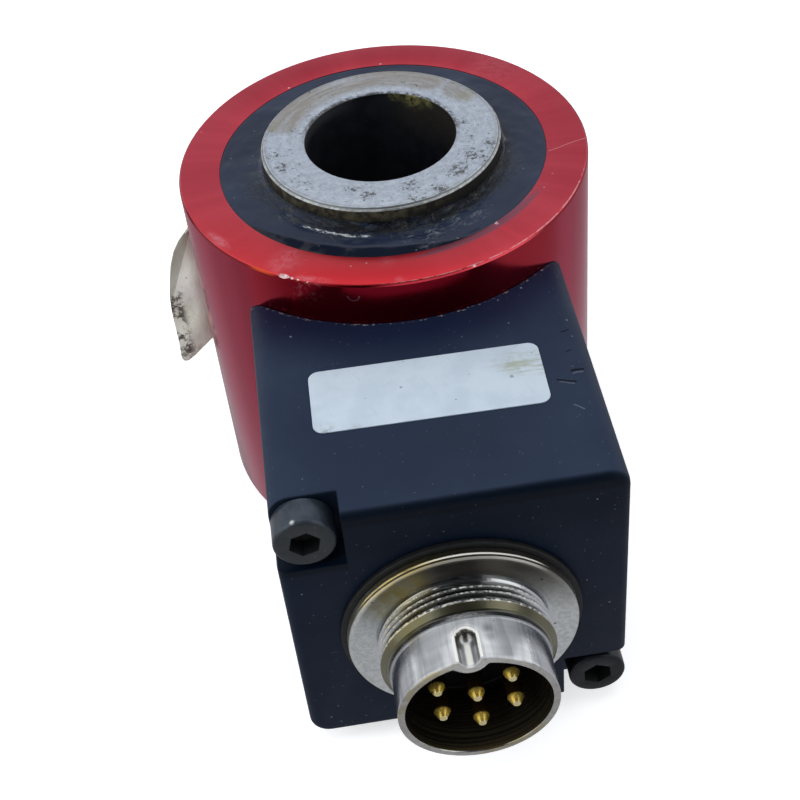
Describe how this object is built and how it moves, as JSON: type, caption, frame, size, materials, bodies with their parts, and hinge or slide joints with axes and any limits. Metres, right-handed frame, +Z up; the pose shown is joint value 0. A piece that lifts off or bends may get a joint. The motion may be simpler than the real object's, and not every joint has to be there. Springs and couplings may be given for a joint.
{
  "type": "force transducer",
  "caption": "Through-hole ring force transducer with a red anodised ring, a steel load ring and a side mounted black connector block.",
  "frame": {"origin": "point on the bore's axis in the plane of the steel base face", "axes": "+Z up the bore towards the load ring, -Y towards the connector, +X to the right seen from the connector"},
  "size_m": [0.0467, 0.0752, 0.0407],
  "materials": {
    "red_anodised": "satin red anodising, nicked along the top edge",
    "bright_steel": "turned, with dark pits and tarnish",
    "black_seal": "potted, slightly glossy",
    "black_rubber": "matte",
    "gauge_film": "amber film",
    "wire_green": "insulated wire",
    "black_anodised": "matte blue-black anodising with scuffs and dust",
    "black_oxide": "black oxide, lightly oiled",
    "nickel_plate": "nickel plated brass, worn to yellow on the thread",
    "black_moulding": "moulded, semi matte",
    "gold_plate": "gold plated",
    "wire_blue": "insulated wire",
    "board_green": "solder mask",
    "zinc_steel": "zinc plated",
    "resistor_ceramic": "lacquered",
    "label_white": "blank, laminated, stained at one end",
    "label_old": "yellowed and dirty"
  },
  "bodies": {
    "root": {"ring_housing": "red_anodised", "measuring_body": "bright_steel", "top_seal": "black_seal", "base_seal": "black_rubber", "gauge_right": "gauge_film", "gauge_rear": "gauge_film", "gauge_left": "gauge_film", "gauge_front": "gauge_film", "gauge_loom": "wire_green", "wire_grommet": "black_rubber", "connector_block": "black_anodised", "cap_screws": "black_oxide", "connector_gasket": "black_rubber", "connector_shell": "nickel_plate", "connector_carrier": "black_moulding", "connector_nut": "nickel_plate", "contact_centre": "gold_plate", "contact_1": "gold_plate", "contact_2": "gold_plate", "contact_3": "gold_plate", "contact_4": "gold_plate", "contact_5": "gold_plate", "contact_leads": "wire_blue", "circuit_board": "board_green", "board_screws": "zinc_steel", "amplifier_chip": "black_moulding", "trim_resistors": "resistor_ceramic", "blank_label": "label_white", "peeling_label": "label_old"}
  },
  "joints": []
}
